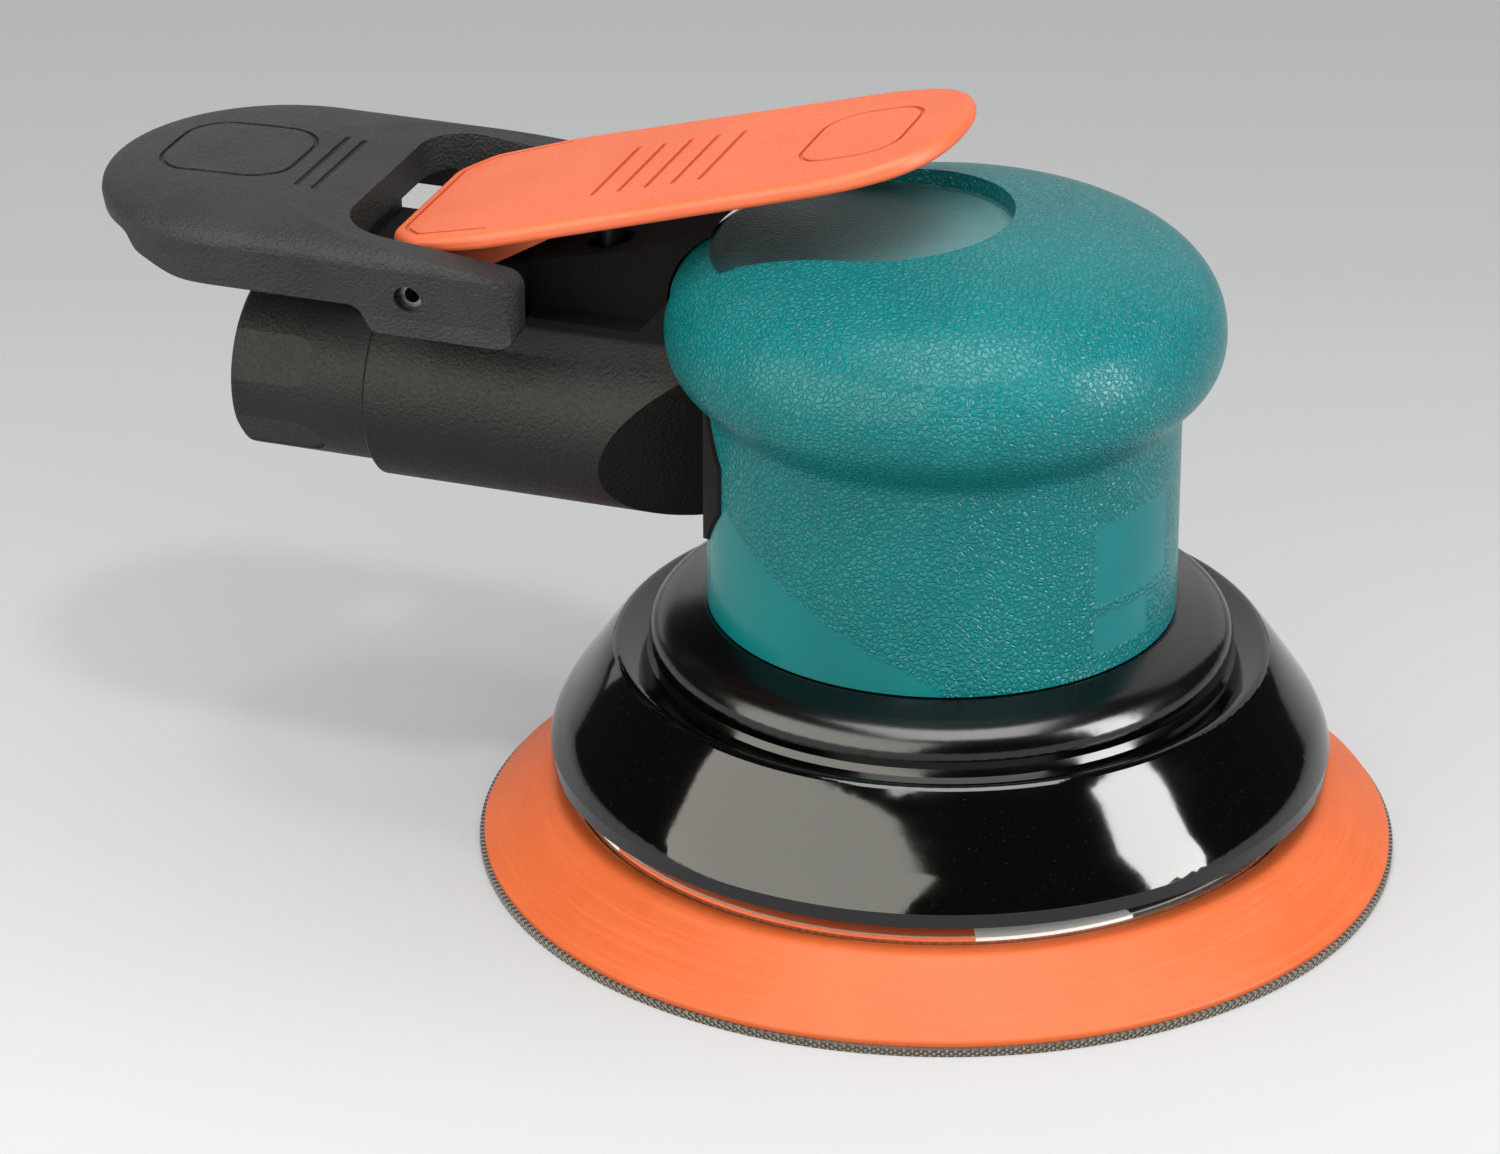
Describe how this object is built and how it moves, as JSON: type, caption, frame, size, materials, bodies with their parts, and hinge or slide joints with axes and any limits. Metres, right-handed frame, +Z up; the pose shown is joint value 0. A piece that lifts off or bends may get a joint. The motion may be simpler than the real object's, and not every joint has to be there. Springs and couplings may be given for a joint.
{
  "type": "orbital sander",
  "caption": "Palm-held pneumatic random orbit sander: domed motor head with grip cover, side handle with wrist rest and throttle lever, flared shroud and round sanding pad.",
  "frame": {"origin": "on the motor's axis, at the sanding pad's working face", "axes": "+Z up along the motor's axis, -X along the handle towards the air inlet"},
  "size_m": [0.1851, 0.127, 0.1059],
  "materials": {
    "black_nylon": "fine spark-eroded grain, injection moulded",
    "grip_rubber": "pebbled soft-touch overmould",
    "gloss_black": "polished moulded surface",
    "lever_orange": "fine satin moulding",
    "pad_orange": "skinned urethane foam, satin",
    "hook_fabric": "woven hook tape",
    "label_print": "printed paper laminate",
    "fibreglass": "glass-fibre laminate",
    "steel": "ground",
    "spring_steel": "oil-blacked spring steel",
    "aluminium": "machined",
    "brass": "machined",
    "seal_rubber": "moulded",
    "felt": "pressed felt",
    "blade_laminate": "phenolic laminate"
  },
  "bodies": {
    "housing": {"motor_housing": "black_nylon", "grip_cover": "grip_rubber", "wrist_rest": "black_nylon", "rest_screws": "steel", "lever_pin": "spring_steel", "shroud": "gloss_black", "muffler_cap": "black_nylon", "silencer": "felt", "inlet_bushing": "steel", "inlet_screen": "brass", "valve_seat": "brass", "valve_spring": "spring_steel", "stem_seal": "seal_rubber", "regulator_seal": "seal_rubber", "cylinder": "steel", "upper_end_plate": "aluminium", "lower_end_plate": "aluminium", "lock_ring": "steel", "locating_pin": "steel", "upper_bearing_outer_ring": "steel", "lower_bearing_outer_ring": "steel"},
    "lever": {"throttle_lever": "lever_orange"},
    "valve": {"valve_stem": "steel", "valve_disc": "seal_rubber"},
    "regulator": {"speed_regulator": "aluminium"},
    "rotor": {"rotor": "steel", "rotor_blades": "blade_laminate", "rotor_key": "steel", "balancer_shaft": "steel", "upper_bearing_inner_ring": "steel", "upper_bearing_balls": "steel", "lower_bearing_inner_ring": "steel", "lower_bearing_balls": "steel", "dust_shield": "aluminium", "pad_bearing_outer_ring": "steel", "bearing_clip": "spring_steel"},
    "pad": {"pad_spindle": "steel", "pad_bearing_inner_ring": "steel", "pad_bearing_balls": "steel", "spindle_clip": "spring_steel", "pad_stud": "steel", "pad_plate": "fibreglass", "pad_label": "label_print", "pad_foam": "pad_orange", "hook_face": "hook_fabric"}
  },
  "joints": [
    {"name": "lever_press", "type": "hinge", "parent": "housing", "child": "lever", "pos_m": [-0.0683, 0, 0.0796], "axis": [0, 1, 0], "range_deg": [0, 8], "stiffness_Nm_per_rad": 0.6, "springref_deg": -5.73},
    {"name": "valve_open", "type": "slide", "parent": "housing", "child": "valve", "axis": [0, 0, -1], "range_m": [0, 0.0034], "deforming": ["valve_spring"]},
    {"name": "regulator_turn", "type": "hinge", "parent": "housing", "child": "regulator", "pos_m": [-0.057, 0, 0.05], "axis": [0, 0, 1], "range_deg": [0, 90]},
    {"name": "rotor_spin", "type": "hinge", "parent": "housing", "child": "rotor", "pos_m": [0, 0, 0.05], "axis": [0, 0, 1], "continuous": true},
    {"name": "pad_spin", "type": "hinge", "parent": "rotor", "child": "pad", "pos_m": [0, -0.0012, 0.02], "axis": [0, 0, 1], "continuous": true}
  ],
  "couplings": [
    {"joint": "valve_open", "follows": "lever_press", "m_per_rad": 0.0217}
  ]
}
